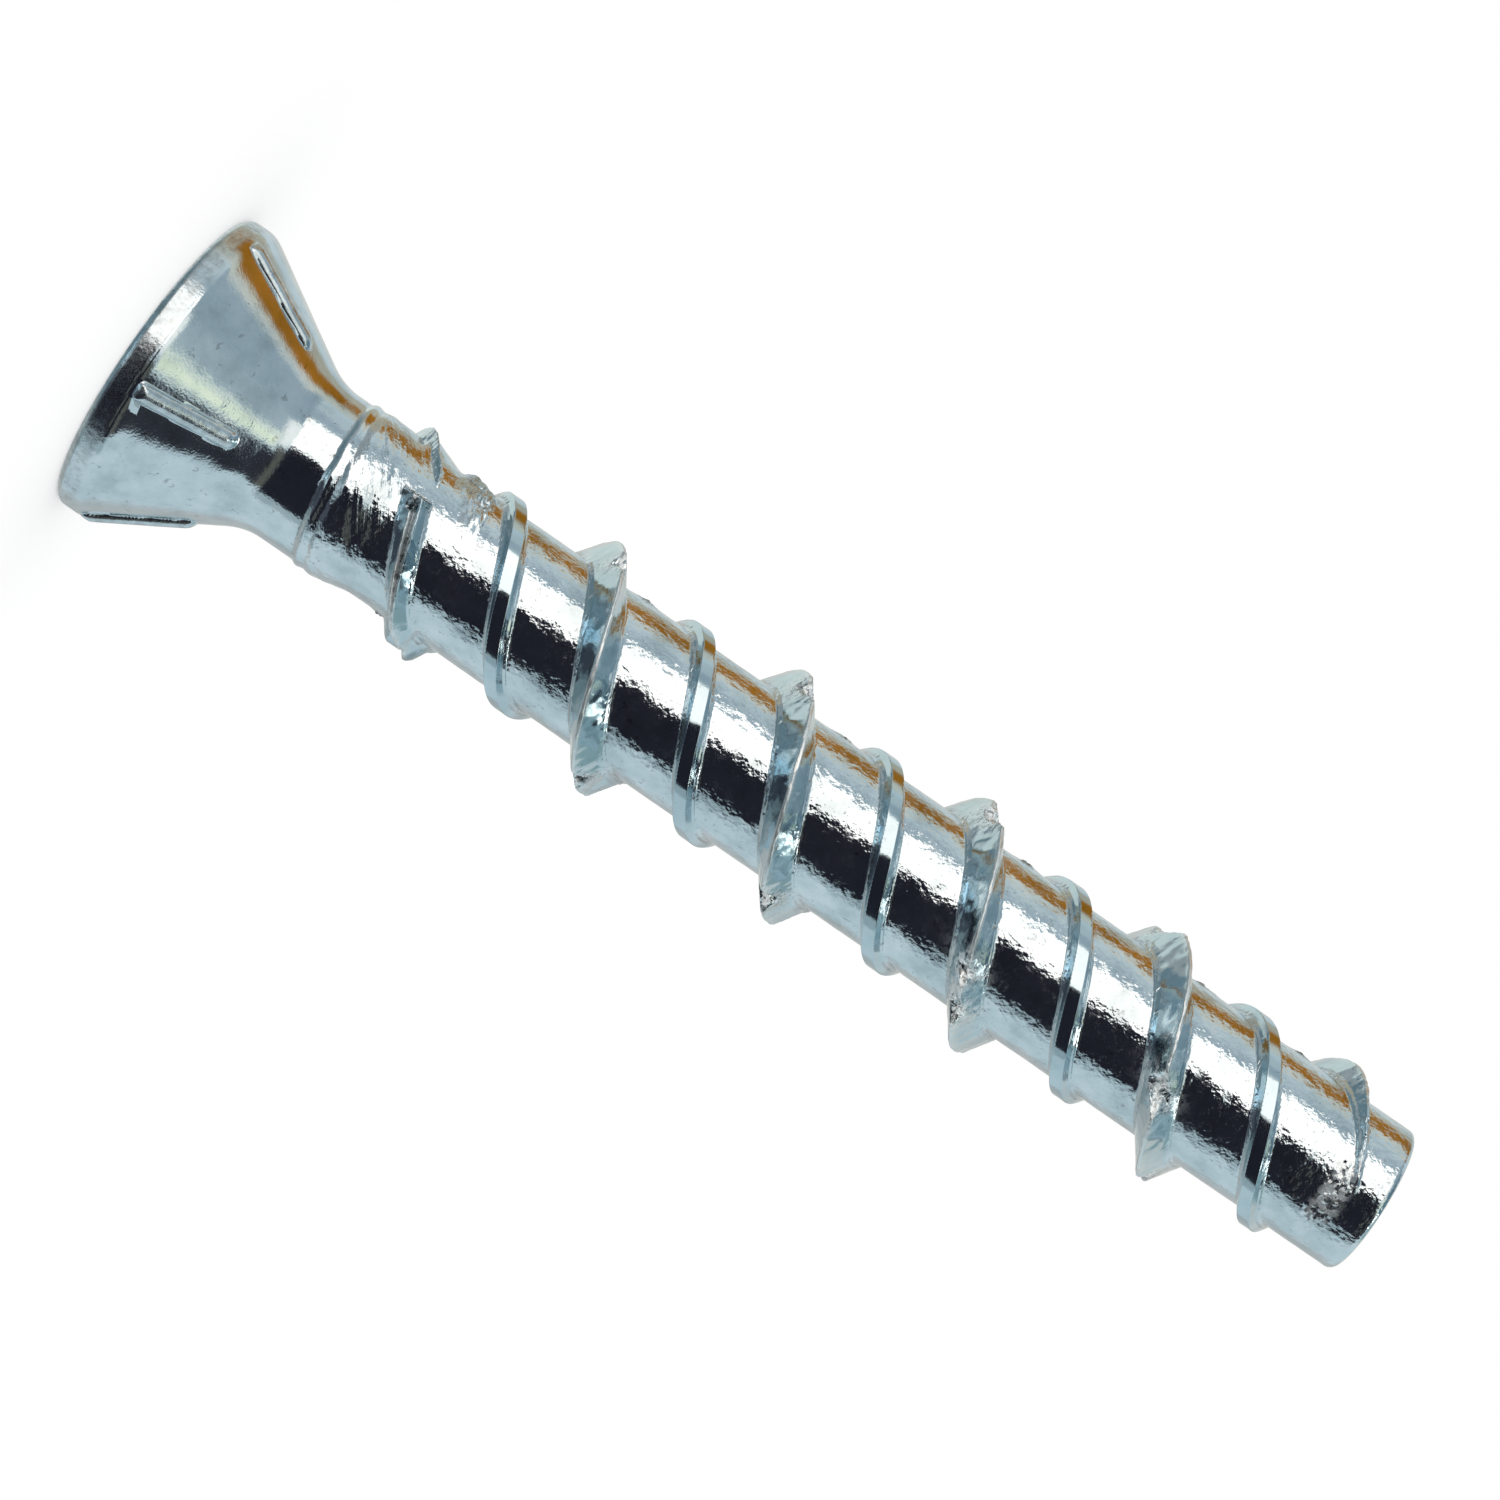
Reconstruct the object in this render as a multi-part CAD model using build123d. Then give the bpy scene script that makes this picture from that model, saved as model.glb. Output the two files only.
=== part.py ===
# Concrete screw: countersunk ribbed head, plain neck and a two-start high and low thread.
# Millimetres. It stands on its flat head face at z = 0, with the tip up along +Z.
import math
import os

from build123d import *

# Overall
LENGTH = 69.1
CORE_D = 7.42
NECK_D = 8.04

# Head: flat face, rim band, cone, concave blend into the neck
HEAD_D = 15.9
RIM_HEIGHT = 1.3
RIM_CHAMFER = 0.28
RIM_UNDER_ROUND = 0.45
CONE_HALF_ANGLE = 31.1
NECK_BLEND_R = 3.2

# Five milling ribs under the head, lying along the cone
RIB_COUNT = 5
RIB_FIRST_ANGLE = -78.4
RIB_WIDTH = 0.95
RIB_RISE = 0.32
RIB_ROUND = 0.3
RIB_OVER_RIM = 0.3
RIB_END_D = 10.16

# Six-lobe drive recess in the head face
DRIVE_LOBE_D = 6.75
DRIVE_VALLEY_D = 4.85
DRIVE_LOBE_R = 0.55
DRIVE_DEPTH = 3.6
DRIVE_FLOOR_D = 4.75
DRIVE_POINT_D = 0.4
DRIVE_POINT_DEPTH = 0.6
DRIVE_MOUTH_D = 7.4
DRIVE_MOUTH_DEPTH = 0.3

# Plain neck, then the rolled collar where the threaded length begins, its head side cut oblique
NECK_LENGTH = 2.285
COLLAR_RISE = 0.12
COLLAR_TILT = 7.0
COLLAR_WIDTH = 1.4
COLLAR_TAPER = 2.1

# Tip: plain pilot with a broken edge
TIP_D = 7.08
TIP_CHAMFER = 0.38
TIP_PILOT = 1.4
TIP_STEP = 0.4

# Both threads are right-handed, share one lead and lie half a lead apart.
# Starts are measured from the collar, run-outs back from the tip.
LEAD = 10.555
CREST_REF = 15.0
CREST_REF_ANGLE = -90.0

HIGH_D = 10.7
HIGH_START_D = 9.2
HIGH_START = 3.77
HIGH_FULL = 10.4
HIGH_CREST_FLAT = 0.26
HIGH_HEAD_FLANK = 32.0
HIGH_TIP_FLANK = 29.0
HIGH_FADE_BEFORE_TIP = 5.9
HIGH_END_BEFORE_TIP = 1.3

LOW_D = 8.72
LOW_START_D = 7.9
LOW_START = 6.2
LOW_FULL = 7.7
LOW_CREST_FLAT = 0.64
LOW_HEAD_FLANK = 29.0
LOW_TIP_FLANK = 29.0
LOW_FADE_BEFORE_TIP = 4.7
LOW_END_BEFORE_TIP = 1.8

# Low ragged lead-in just ahead of the square-cut start of the high thread
LEAD_IN_D = 9.4
LEAD_IN_END_D = 8.2
LEAD_IN_START = 1.65
LEAD_IN_PEAK = 2.35
LEAD_IN_END = 3.55
LEAD_IN_LAG = 0.55
LEAD_IN_CREST_FLAT = 0.3
LEAD_IN_HEAD_FLANK = 30.0
LEAD_IN_TIP_FLANK = 60.0

# Cutting notches across the high crest, as turning angles from the crest's reference point.
# A longer screw carries them on at the usual step.
NOTCH_ANGLES = (-253, -157, -61, 70, 114, 288, 421, 474, 628, 753, 834, 981, 1097, 1194)
NOTCH_STEP = 114.0
NOTCH_DEPTH = 0.6
NOTCH_HALF_ANGLE = 48.0
NOTCH_SKEW = 14.0

# Worked out from the above
BURIED = 0.25
CORE_R = CORE_D / 2
NECK_R = NECK_D / 2
HEAD_R = HEAD_D / 2
CONE_SLOPE = math.tan(math.radians(CONE_HALF_ANGLE))
CONE_END_Z = RIM_HEIGHT + (HEAD_R - NECK_R) / CONE_SLOPE
COLLAR_R = NECK_R + COLLAR_RISE
COLLAR_Z = CONE_END_Z + NECK_LENGTH
TAPER_Z = COLLAR_Z + COLLAR_WIDTH
TAPER_END_Z = TAPER_Z + COLLAR_TAPER
CREST_REF_Z = COLLAR_Z + CREST_REF
HIGH_FADE_Z = LENGTH - HIGH_FADE_BEFORE_TIP
HIGH_STATIONS = (
    (COLLAR_Z + HIGH_START, HIGH_START_D),
    (COLLAR_Z + HIGH_FULL, HIGH_D),
    (HIGH_FADE_Z, HIGH_D),
    (LENGTH - HIGH_END_BEFORE_TIP, TIP_D - BURIED),
)
HELIX_STEP = 45.0


def cone_radius(z):
    """Radius of the underside of the head at height z."""
    return HEAD_R - (z - RIM_HEIGHT) * CONE_SLOPE


def crest_angle(z, lag=0.0):
    """Angle about +Z at which a thread crest passes height z."""
    return CREST_REF_ANGLE + (z - lag - CREST_REF_Z) / LEAD * 360


def turned(outline):
    """Solid of revolution from (radius, z) corners, closed along the axis."""
    corners = [(0, outline[0][1])] + list(outline) + [(0, outline[-1][1])]
    return revolve(Plane.XZ * make_face(Polyline(*corners, close=True)), Axis.Z)


def crest_radius(z, stations):
    """Crest radius at height z, straight between (height, diameter) stations."""
    for (z0, d0), (z1, d1) in zip(stations, stations[1:]):
        if z <= z1:
            return (d0 + (d1 - d0) * (z - z0) / (z1 - z0)) / 2
    return stations[-1][1] / 2


def helical_ridge(stations, flat, head_flank, tip_flank, lag=0.0):
    """Helical ridge with a flat crest that follows its stations, square-cut at both ends."""
    root_r = CORE_R - BURIED
    head = math.tan(math.radians(head_flank))
    tip = math.tan(math.radians(tip_flank))
    start_z, end_z = stations[0][0], stations[-1][0]
    steps = math.ceil((end_z - start_z) / LEAD * 360 / HELIX_STEP)
    corners = ([], [], [], [])
    for i in range(steps + 1):
        z = start_z + (end_z - start_z) * i / steps
        r = crest_radius(z, stations)
        turn = crest_angle(z, lag)
        section = (
            (root_r, -flat / 2 - (r - root_r) * head),
            (r, -flat / 2),
            (r, flat / 2),
            (root_r, flat / 2 + (r - root_r) * tip),
        )
        for corner, (radius, rise) in zip(corners, section):
            corner.append(Vector(radius, 0, z + rise).rotate(Axis.Z, turn))
    lines = [Spline(*corner) for corner in corners]
    faces = [Face.make_surface_from_curves(lines[i], lines[(i + 1) % 4]) for i in range(4)]
    for end in (0, -1):
        faces.append(make_face(Polyline(*[corner[end] for corner in corners], close=True)).face())
    return Solid(Shell(faces))


def shank():
    """Head, neck, core and pilot tip, all turned about the axis."""
    blend_reach = NECK_BLEND_R * math.tan(math.radians(CONE_HALF_ANGLE / 2))
    cone_end = Vector(cone_radius(CONE_END_Z), CONE_END_Z)
    blend_start = cone_end + Vector(CONE_SLOPE, -1).normalized() * blend_reach
    blend_end = Vector(NECK_R, CONE_END_Z + blend_reach)
    blend = TangentArc(blend_start, blend_end, tangent=Vector(-CONE_SLOPE, 1))
    head_side = Polyline(
        (0, LENGTH),
        (TIP_D / 2 - TIP_CHAMFER, LENGTH),
        (TIP_D / 2, LENGTH - TIP_CHAMFER),
        (TIP_D / 2, LENGTH - TIP_PILOT),
        (CORE_R, LENGTH - TIP_PILOT - TIP_STEP),
        (CORE_R, TAPER_END_Z),
        (NECK_R, TAPER_Z),
        blend_end,
    )
    rim_side = Polyline(
        blend_start,
        (HEAD_R, RIM_HEIGHT),
        (HEAD_R, RIM_CHAMFER),
        (HEAD_R - RIM_CHAMFER, 0),
        (0, 0),
        (0, LENGTH),
    )
    blank = revolve(Plane.XZ * make_face([*head_side.edges(), blend, *rim_side.edges()]), Axis.Z)
    rings = blank.edges().filter_by(GeomType.CIRCLE)
    rim_ring = rings.filter_by_position(Axis.Z, RIM_HEIGHT - 0.01, RIM_HEIGHT + 0.01)
    return fillet(rim_ring, RIM_UNDER_ROUND)


def collar():
    """Rolled collar, its head-side edge oblique and its far side tapered to the core."""
    sleeve = turned([(COLLAR_R, CONE_END_Z), (COLLAR_R, TAPER_Z), (CORE_R - BURIED, TAPER_END_Z)])
    beyond = Cylinder(NECK_D, LENGTH, align=(Align.CENTER, Align.CENTER, Align.MIN))
    return sleeve & (Pos(0, 0, COLLAR_Z) * Rot(0, -COLLAR_TILT, 0) * beyond)


def rib():
    """One milling rib lying along the cone in the plane of +X, rounded at its neck end."""
    start_z = RIM_HEIGHT - RIB_OVER_RIM
    start = Vector(cone_radius(start_z), 0, start_z)
    end = Vector(RIB_END_D / 2, 0, RIM_HEIGHT + (HEAD_R - RIB_END_D / 2) / CONE_SLOPE)
    length = (end - start).length
    outward = Vector(1, 0, CONE_SLOPE)
    base = Plane(origin=start, x_dir=end - start, z_dir=outward)
    straight = length - RIB_WIDTH / 2
    bar = Pos(straight / 2, 0, (RIB_RISE - BURIED) / 2) * Box(straight, RIB_WIDTH, RIB_RISE + BURIED)
    nose = Pos(straight, 0, (RIB_RISE - BURIED) / 2) * Cylinder(RIB_WIDTH / 2, RIB_RISE + BURIED)
    strip = bar + nose
    top = strip.edges().group_by(Axis.Z)[-1]
    within_rim = Cylinder(HEAD_R, LENGTH, align=(Align.CENTER, Align.CENTER, Align.MIN))
    return base.location * fillet(top, RIB_ROUND) & within_rim


def drive_recess():
    """Six-lobe recess of tangent arcs, with a shallow mouth and a conical floor."""
    lobe_at = DRIVE_LOBE_D / 2 - DRIVE_LOBE_R
    valley = DRIVE_VALLEY_D / 2
    reach = lobe_at * math.cos(math.radians(30))
    gap = valley - reach - DRIVE_LOBE_R
    wall_r = (DRIVE_LOBE_R**2 - valley**2 - lobe_at**2 + 2 * valley * reach) / (2 * gap)
    lobe = Vector(lobe_at, 0)
    wall = Vector(valley + wall_r, 0).rotate(Axis.Z, 30)
    meet = lobe + (wall - lobe).normalized() * DRIVE_LOBE_R
    arcs = []
    for i in range(6):
        turn = 60 * i
        low, high = Vector(meet.X, -meet.Y).rotate(Axis.Z, turn), meet.rotate(Axis.Z, turn)
        following = Vector(meet.X, -meet.Y).rotate(Axis.Z, turn + 60)
        arcs.append(ThreePointArc(low, Vector(DRIVE_LOBE_D / 2, 0).rotate(Axis.Z, turn), high))
        arcs.append(ThreePointArc(high, Vector(valley, 0).rotate(Axis.Z, turn + 30), following))
    socket = extrude(make_face(arcs), DRIVE_DEPTH)
    floor = Pos(0, 0, DRIVE_DEPTH) * Cone(
        DRIVE_FLOOR_D / 2, DRIVE_POINT_D / 2, DRIVE_POINT_DEPTH, align=(Align.CENTER, Align.CENTER, Align.MIN)
    )
    mouth = Cone(
        DRIVE_MOUTH_D / 2, valley, DRIVE_MOUTH_DEPTH, align=(Align.CENTER, Align.CENTER, Align.MIN)
    )
    return socket + floor + mouth


def high_thread():
    """High thread, square-cut where it starts and fading out at the tip."""
    return helical_ridge(HIGH_STATIONS, HIGH_CREST_FLAT, HIGH_HEAD_FLANK, HIGH_TIP_FLANK)


def low_thread():
    """Low thread, half a lead behind the high one."""
    stations = [
        (COLLAR_Z + LOW_START, LOW_START_D),
        (COLLAR_Z + LOW_FULL, LOW_D),
        (LENGTH - LOW_FADE_BEFORE_TIP, LOW_D),
        (LENGTH - LOW_END_BEFORE_TIP, TIP_D - BURIED),
    ]
    return helical_ridge(stations, LOW_CREST_FLAT, LOW_HEAD_FLANK, LOW_TIP_FLANK, LEAD / 2)


def lead_in():
    """Low hump of thread left just ahead of the square-cut start."""
    stations = [
        (COLLAR_Z + LEAD_IN_START, CORE_D),
        (COLLAR_Z + LEAD_IN_PEAK, LEAD_IN_D),
        (COLLAR_Z + LEAD_IN_END, LEAD_IN_END_D),
    ]
    return helical_ridge(stations, LEAD_IN_CREST_FLAT, LEAD_IN_HEAD_FLANK, LEAD_IN_TIP_FLANK, LEAD_IN_LAG)


def notch_turns():
    """Turning angles of the notches, from the first up to where the crest begins to fade."""
    last = (HIGH_FADE_Z - CREST_REF_Z) / LEAD * 360
    extra = max(0, math.floor((last - NOTCH_ANGLES[-1]) / NOTCH_STEP))
    turns = list(NOTCH_ANGLES) + [NOTCH_ANGLES[-1] + NOTCH_STEP * (i + 1) for i in range(extra)]
    return [turn for turn in turns if turn <= last]


def notch(turn_angle):
    """V-shaped cutter across the high crest, at one turning angle from its reference point."""
    z = CREST_REF_Z + LEAD * turn_angle / 360
    over = HIGH_D / 2 - CORE_R
    mouth = (NOTCH_DEPTH + over) * math.tan(math.radians(NOTCH_HALF_ANGLE))
    wedge = make_face(Polyline((-NOTCH_DEPTH, 0), (over, mouth), (over, -mouth), close=True))
    cutter = extrude(wedge, over, both=True)
    crest = crest_radius(z, HIGH_STATIONS)
    at = Rot(0, 0, CREST_REF_ANGLE + turn_angle) * Pos(crest, 0, z) * Rot(NOTCH_SKEW, 0, 0)
    return at * cutter


ribs = [Rot(0, 0, RIB_FIRST_ANGLE + 360 / RIB_COUNT * i) * rib() for i in range(RIB_COUNT)]
high = high_thread() - [notch(turn_angle) for turn_angle in notch_turns()]
screw = shank() + [collar(), *ribs, low_thread(), lead_in(), high] - drive_recess()
screw = screw.solids().sort_by(SortBy.VOLUME)[-1]

os.makedirs("parts", exist_ok=True)
export_step(screw, "parts/concrete_screw.step")
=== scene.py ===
# Looks of the concrete screw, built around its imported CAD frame. The shape code works in millimetres
# and degrees; the finished mesh and the scene are in metres, in the frame of the CAD. Angles around
# the screw run from the side that faces the camera (-Y) toward +X.
import math
from collections import namedtuple

import bpy
import numpy as np
from mathutils import Matrix, Vector


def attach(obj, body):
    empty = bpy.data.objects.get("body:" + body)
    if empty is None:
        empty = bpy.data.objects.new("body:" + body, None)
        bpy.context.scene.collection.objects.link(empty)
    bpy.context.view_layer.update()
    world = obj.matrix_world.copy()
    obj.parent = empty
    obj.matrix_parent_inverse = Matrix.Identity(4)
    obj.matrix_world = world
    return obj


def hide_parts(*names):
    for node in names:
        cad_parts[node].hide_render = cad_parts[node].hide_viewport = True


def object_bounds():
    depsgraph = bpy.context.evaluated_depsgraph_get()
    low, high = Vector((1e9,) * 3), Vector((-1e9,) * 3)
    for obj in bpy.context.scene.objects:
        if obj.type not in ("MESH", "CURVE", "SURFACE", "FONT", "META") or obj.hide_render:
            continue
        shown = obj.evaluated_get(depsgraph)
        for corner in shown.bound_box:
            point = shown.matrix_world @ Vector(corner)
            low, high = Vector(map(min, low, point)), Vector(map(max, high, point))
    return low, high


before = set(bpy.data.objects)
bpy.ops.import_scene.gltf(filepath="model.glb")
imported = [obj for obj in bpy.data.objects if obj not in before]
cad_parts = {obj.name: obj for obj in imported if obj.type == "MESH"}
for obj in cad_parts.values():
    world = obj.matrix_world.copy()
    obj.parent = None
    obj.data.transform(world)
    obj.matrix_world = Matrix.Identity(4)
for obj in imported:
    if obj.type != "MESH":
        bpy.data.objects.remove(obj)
cad_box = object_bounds()

MM = 0.001

# Overall: the length and the head's radius are the CAD's
LENGTH = round(cad_box[1][2] / MM, 2)
HEAD_R = round(cad_box[1][0] / MM, 2)
CORE_R = 3.73
CORE_END_R = 3.63
CORE_TAPER = (58, 67)

# Sides where the photo's outlines lie
UPPER_SIDE = -96
LOWER_SIDE = 88

# Head
RIM_HEIGHT = 1.3
RIM_ROUND = 0.22
RIM_LIP = 0.21
RIM_LIP_HEIGHT = 0.35
CONE_ANGLE = 31.1
CONE_SLOPE = math.tan(math.radians(CONE_ANGLE))
NECK_BLEND = 0.54
RIB_COUNT = 5
FIRST_RIB = -60.4
RIB_ANGLES = [round(FIRST_RIB + k * 360 / RIB_COUNT, 1) for k in range(RIB_COUNT)]
RIB_START_Z = 1.35
RIB_END_Z = 6.08
RIB_RISE = 0.34
RIB_HALF = 0.46
RIB_RIM_ROUND = 0.05

# Six-lobe drive recess
LOBE_R = 3.375
VALLEY_R = 2.425
LOBE_ROUND = 0.55
MOUTH_R = 3.7
MOUTH_DEPTH = 0.3
DRIVE_DEPTH = 3.6
DRIVE_FLOOR_R = 2.375
DRIVE_POINT_DEPTH = 0.6

# Neck, the slanting lip that thread rolling left at its end, and the collar that narrows behind it,
# with a hump on its upper side
NECK_R = 4.02
LIP_Z = 10.1
LIP_SLANT = 0.1228
COLLAR_Z = 11.4
COLLAR_R = 4.2
COLLAR_TAPER = 0.217
HUMP_Z = 13.0
HUMP_RISE = 0.64
HUMP_TAPER = 0.36
HUMP_TOP = 0.62
HUMP_WIDTH = 34
HUMP_START = (12.0, 12.9)

# Threads share one lead; CREST_Z is where a high crest faces the camera. A turning angle counts on
# along the thread from there. A root is the rounding where a feature meets the core.
LEAD = 10.555
CREST_Z = 25.1
HIGH_R = 5.35
HIGH_FLAT = 0.07
HIGH_ROUND = 0.11
HIGH_FLANKS = (33.2, 30.0)
LOW_R = 4.36
LOW_FLAT = 0.33
LOW_ROUND = 0.06
LOW_FLANKS = (29.0, 28.5)
LOW_SHIFT = 0.06
BEND = 0.13
BEND_WIDTH = 42
FADING = (1290, 1370)
EDGE_END = (1430, 1450)
HIGH_ROOT = 0.1
LOW_ROOT = 0.12
FIN_ROOT = 0.06
BAR_ROOT = 0.05

# Square-cut start of the high thread
START_TURN = -383
START_ANGLE = -23.3
START_Z = 14.0
START_FLAT = 0.16
START_LEAN = 0.15
HOLE_ANGLE = -15.5
BAR_FOOT_R = 3.2
BAR_RISE = 1.32

# Crest radius of each thread by turning angle
HIGH_STATIONS = (
    (-384.2, 3.5), (-382.6, 4.6), (-330, 4.78), (-300, 4.76), (-286, 4.62),
    (-272, 4.62), (-265, 4.97), (-259, 4.9), (-251, 4.4), (-232, 4.7),
    (-157, HIGH_R), (1299, HIGH_R), (1351, 4.88), (1395, 4.3), (1455, 3.6),
)
LOW_STATIONS = ((-316, 3.55), (-303, 4.1), (-272, 4.38), (-235, LOW_R), (1370, LOW_R), (1460, 3.45))

# Cutting notches in the high crest: turning angle, depth, half width and half flat bottom in degrees
# of turn, skew in degrees of turn per mm along the axis. The wide ones lie on the hidden side.
Notch = namedtuple("Notch", "at depth half bottom skew")
NOTCHES = (
    Notch(-157, 0.5, 7.0, 0, 2.8),
    Notch(-61, 0.62, 8.0, 0, 4.2),
    Notch(71, 0.66, 9.0, 0, 2.8),
    Notch(120, 1.25, 6.0, 18, 0),
    Notch(293, 0.62, 8.0, 4, 4.2),
    Notch(421, 0.7, 8.5, 1, 3.5),
    Notch(480, 1.25, 6.0, 18, 0),
    Notch(648, 0.62, 7.0, 7, 1.4),
    Notch(742, 0.52, 6.0, 1, 1.4),
    Notch(764, 0.6, 7.0, 2, 4.2),
    Notch(848, 1.25, 6.0, 16, 0),
    Notch(983, 0.9, 16.0, 0, 4.2),
    Notch(1097, 0.9, 10.0, 2, 2.8),
    Notch(1168, 0.3, 9.0, 2, 0),
    Notch(1223, 1.1, 6.0, 15, 0),
)
WIDE_BOTTOM = 12
NOTCH_REACH = 26

# Ragged fin ahead of the square start: angle, crest radius. It runs a little steeper than the thread.
FIN_STATIONS = ((-116, 3.5), (-100, 4.6), (-90, 4.82), (-70, 4.46), (-50, 4.12), (-38, 3.6))
FIN_Z = 12.45
FIN_RISE = 0.041
FIN_FLAT = 0.03
FIN_FLANKS = (26.0, 34.0)

# Tip
TIP_R = 3.54
TIP_Z = 67.5
TIP_ROUND = 0.36
TIP_SLANT = 0.15
TIP_END_R = TIP_R - TIP_ROUND

# Torn metal: the scar and the lump by the first crests, and the run-out by the tip. Each rises
# between the first two of its heights and falls between the last two.
SCAR_ANGLE = -86
SCAR_Z = 15.3
SCAR_TWIST = 22
SCAR_WIDTH = 21
SCAR_HEIGHTS = (14.6, SCAR_Z, 16.6, 17.4)
LUMP_R = 3.6
LUMP_RISE = 1.05
LUMP_WIDTH = 26
LUMP_HEIGHTS = (15.2, 16.3, 16.9, 17.5)
RUN_OUT_ANGLE = 12
RUN_OUT_WIDTH = 26
RUN_OUT_HEIGHTS = (65.7, 66.2, 67.0, TIP_Z)

# Small burrs on the plain core: angle, height, length along the axis
BURRS = (
    (-88, 25.1, 0.5), (-90, 36.2, 0.45), (-89, 46.6, 0.5), (-90, 56.7, 0.6),
    (-88, 62.2, 0.4), (89, 15.2, 0.28), (76, 26.6, 0.25),
)
BURR_RISE = 0.13
BURR_WIDTH = 4.5

# Rolling marks, which climb more steeply than the thread
ROLL_LEAD = 14.0
ROLL_SIZE = 0.12

# Radius of the cylinder on which the shape's noise is read
NOISE_R = 4

# The surface is a meridian turned around the axis. Its place t is the height z on the outside, runs
# below zero over the flat face and into the recess, and beyond LENGTH over the tip's end.
FACE_R = HEAD_R - RIM_LIP
FACE_END = FACE_R - MOUTH_R
MOUTH_END = FACE_END + 0.5
WALL_END = MOUTH_END + DRIVE_DEPTH
FLOOR_END = WALL_END + 0.7
POINT_END = FLOOR_END + 2.2

# Mesh: an edge is halved where its zone asks for it, or where its middle is off the surface by more
# than FLATNESS. Normals are read a nudge to each side of a point.
COLUMNS = 72
ROW = LEAD / COLUMNS
LEVELS = 6
CORNER = 0.03
COARSE_EDGE = 0.75
SHORTEST = 0.13
FLATNESS = 0.012
NUDGE = 0.012
NUDGE_ANGLE = 0.2


# Plain number helpers


def share(a, b, x):
    """Straight 0 to 1 as x goes from a to b."""
    return np.clip((x - a) / (b - a), 0, 1)


def step(a, b, x):
    """Smooth 0 to 1 as x goes from a to b."""
    t = share(a, b, x)
    return t * t * (3 - 2 * t)


def smin(a, b, k):
    """Smaller of the two, rounded over k where they meet."""
    h = np.clip(k - np.abs(a - b), 0, None) / k
    return np.minimum(a, b) - h * h * k / 4


def smax(a, b, k):
    """Larger of the two, rounded over k where they meet."""
    return -smin(-a, -b, k)


def bell(x, width):
    """1 at zero, falling smoothly to both sides."""
    return np.exp(-((x / width) ** 2))


def hashed(ix, iy, iz, seed):
    """A number from 0 to 1 that looks random, the same each time for a cell and seed."""
    h = (ix * 374761393 + iy * 668265263 + iz * 1442695041 + seed * 1274126177) & 0xFFFFFFFF
    h = ((h ^ (h >> 13)) * 1274126177) & 0xFFFFFFFF
    return ((h ^ (h >> 16)) & 0xFFFFFF) / 0xFFFFFF


def noise(p, size, seed):
    """Smooth noise from -1 to 1 at points p, with bumps about size mm across."""
    q = p / size + 1000
    cell = np.floor(q).astype(np.int64)
    f = q - cell
    f = f * f * (3 - 2 * f)
    total = 0
    for i in (0, 1):
        for j in (0, 1):
            for k in (0, 1):
                weight = (
                    (f[:, 0] if i else 1 - f[:, 0])
                    * (f[:, 1] if j else 1 - f[:, 1])
                    * (f[:, 2] if k else 1 - f[:, 2])
                )
                total = total + weight * hashed(cell[:, 0] + i, cell[:, 1] + j, cell[:, 2] + k, seed)
    return total * 2 - 1


def wrapped(angle):
    """The same angle between -180 and 180."""
    return (angle + 180) % 360 - 180


def rolled(phi, z):
    """Height measured across the rolling marks."""
    return z - wrapped(phi) / 360 * ROLL_LEAD


def along_crest(phi, z):
    """Distance along the axis from the nearest high crest, and that crest's turning angle."""
    bend = BEND * bell(wrapped(phi - UPPER_SIDE), BEND_WIDTH)
    turns = (z - bend - CREST_Z) / LEAD - phi / 360
    k = np.round(turns)
    return (turns - k) * LEAD, 360 * k + phi


def from_low_crest(w):
    """Distance along the axis from the nearest low crest, midway between the high ones."""
    return (w + LEAD) % LEAD - LEAD / 2


def crest_line(w, turn, width):
    """1 along the high crest from its start to its end."""
    return bell(w, width) * step(START_TURN - 1, START_TURN + 3, turn) * (1 - step(*EDGE_END, turn))


# Shape of the screw


class Points:
    """Places on the outside by angle and height, and the masks that the features leave on them."""

    def __init__(self, phi, z):
        self.phi = phi
        self.z = z
        self.around = np.radians(phi)
        self.spot = np.stack([NOISE_R * np.sin(self.around), -NOISE_R * np.cos(self.around), z], axis=1)
        self.w, self.turn = along_crest(phi, z)
        self.rough = noise(self.spot, 0.28, 11) * 0.5 + noise(self.spot, 0.13, 12) * 0.5
        self.masks = {"pit": 0 * z, "scuff": 0 * z, "dirt_and_shade": 0 * z}

    def mark(self, name, values):
        """Raises a mask to the values where they are higher."""
        self.masks[name] = np.maximum(self.masks[name], values)

    def beside(self, angle, width):
        """1 at an angle, falling over width degrees to both sides."""
        return bell(wrapped(self.phi - angle), width)

    def within(self, low, low_full, high_full, high):
        """1 between two heights, falling to 0 below and above them."""
        return step(low, low_full, self.z) * (1 - step(high_full, high, self.z))


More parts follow.
